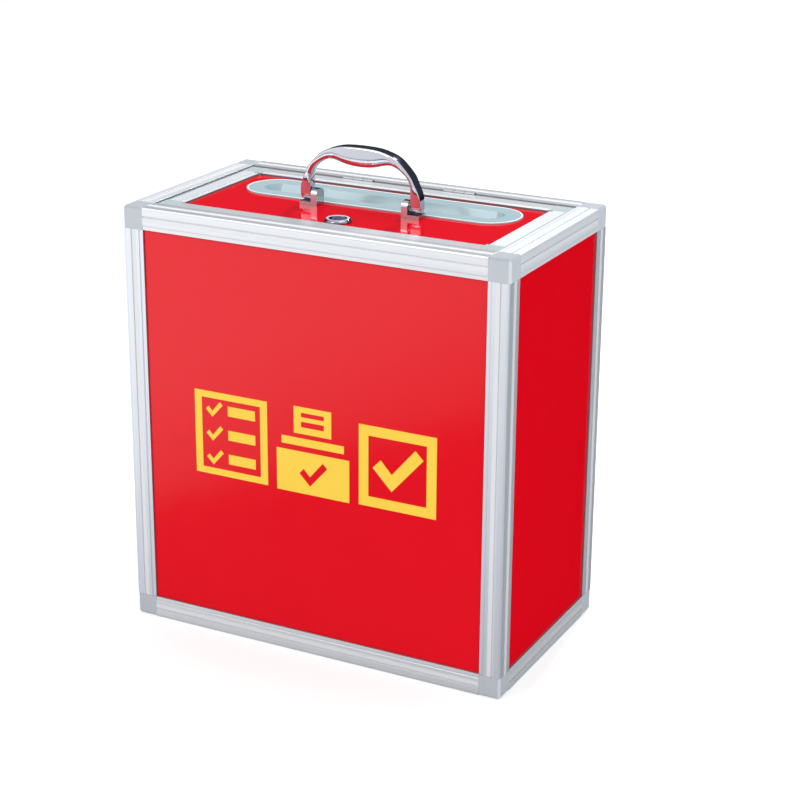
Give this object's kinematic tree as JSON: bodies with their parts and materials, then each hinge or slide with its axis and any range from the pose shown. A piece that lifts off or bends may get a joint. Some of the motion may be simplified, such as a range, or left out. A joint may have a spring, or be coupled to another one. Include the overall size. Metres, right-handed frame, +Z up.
{
  "type": "ballot box",
  "caption": "Tall portable ballot box: aluminium profile frame with plastic corner blocks, glossy red panels, hinged lid with paper slot, cam lock and folding carrying handle.",
  "frame": {"origin": "centre of the rectangle the box stands on, at floor level", "axes": "+X to the right seen from the lock side, +Y to the hinge side at the back, +Z up"},
  "size_m": [0.36, 0.2, 0.4315],
  "materials": {
    "rail_aluminium": "satin",
    "corner_plastic": "satin",
    "lid_corner_plastic": "satin",
    "red_panel": "mirror gloss",
    "bezel_plastic": "satin",
    "handle_chrome": "polished",
    "lock_chrome": "polished",
    "plated_steel": "plated"
  },
  "bodies": {
    "case": {"corner_bottom_front_left": "corner_plastic", "corner_bottom_front_right": "corner_plastic", "corner_bottom_rear_left": "corner_plastic", "corner_bottom_rear_right": "corner_plastic", "corner_top_front_left": "corner_plastic", "corner_top_front_right": "corner_plastic", "corner_top_rear_left": "corner_plastic", "corner_top_rear_right": "corner_plastic", "panel_bottom": "red_panel", "panel_front": "red_panel", "panel_left": "red_panel", "panel_rear": "red_panel", "panel_right": "red_panel", "post_front_left": "rail_aluminium", "post_front_right": "rail_aluminium", "post_rear_left": "rail_aluminium", "post_rear_right": "rail_aluminium", "rail_bottom_front": "rail_aluminium", "rail_bottom_left": "rail_aluminium", "rail_bottom_rear": "rail_aluminium", "rail_bottom_right": "rail_aluminium", "rail_top_front": "rail_aluminium", "rail_top_left": "rail_aluminium", "rail_top_rear": "rail_aluminium", "rail_top_right": "rail_aluminium", "hinge_leaves_case": "plated_steel", "hinge_pins": "plated_steel"},
    "lid": {"handle_bracket_left": "handle_chrome", "handle_bracket_right": "handle_chrome", "handle_pivot_pins": "plated_steel", "handle_screws": "plated_steel", "hinge_leaves_lid": "plated_steel", "lid_corner_front_left": "lid_corner_plastic", "lid_corner_front_right": "lid_corner_plastic", "lid_corner_rear_left": "lid_corner_plastic", "lid_corner_rear_right": "lid_corner_plastic", "lid_panel": "red_panel", "lid_rail_front": "rail_aluminium", "lid_rail_left": "rail_aluminium", "lid_rail_rear": "rail_aluminium", "lid_rail_right": "rail_aluminium", "lock_body": "lock_chrome", "lock_nut": "plated_steel", "slot_bezel": "bezel_plastic"},
    "handle": {"handle_grip": "handle_chrome"},
    "lock": {"cam_screw": "plated_steel", "lock_cam": "plated_steel", "lock_cylinder": "lock_chrome"}
  },
  "joints": [
    {"name": "lid_hinge", "type": "hinge", "parent": "case", "child": "lid", "pos_m": [0, 0.08015, 0.379], "axis": [-1, 0, 0], "range_deg": [0, 100]},
    {"name": "handle_fold", "type": "hinge", "parent": "lid", "child": "handle", "pos_m": [0, -0.007, 0.3867], "axis": [1, 0, 0], "range_deg": [-90, 90]},
    {"name": "lock_turn", "type": "hinge", "parent": "lid", "child": "lock", "pos_m": [0, -0.049, 0.362], "axis": [0, 0, -1], "range_deg": [0, 90]}
  ]
}
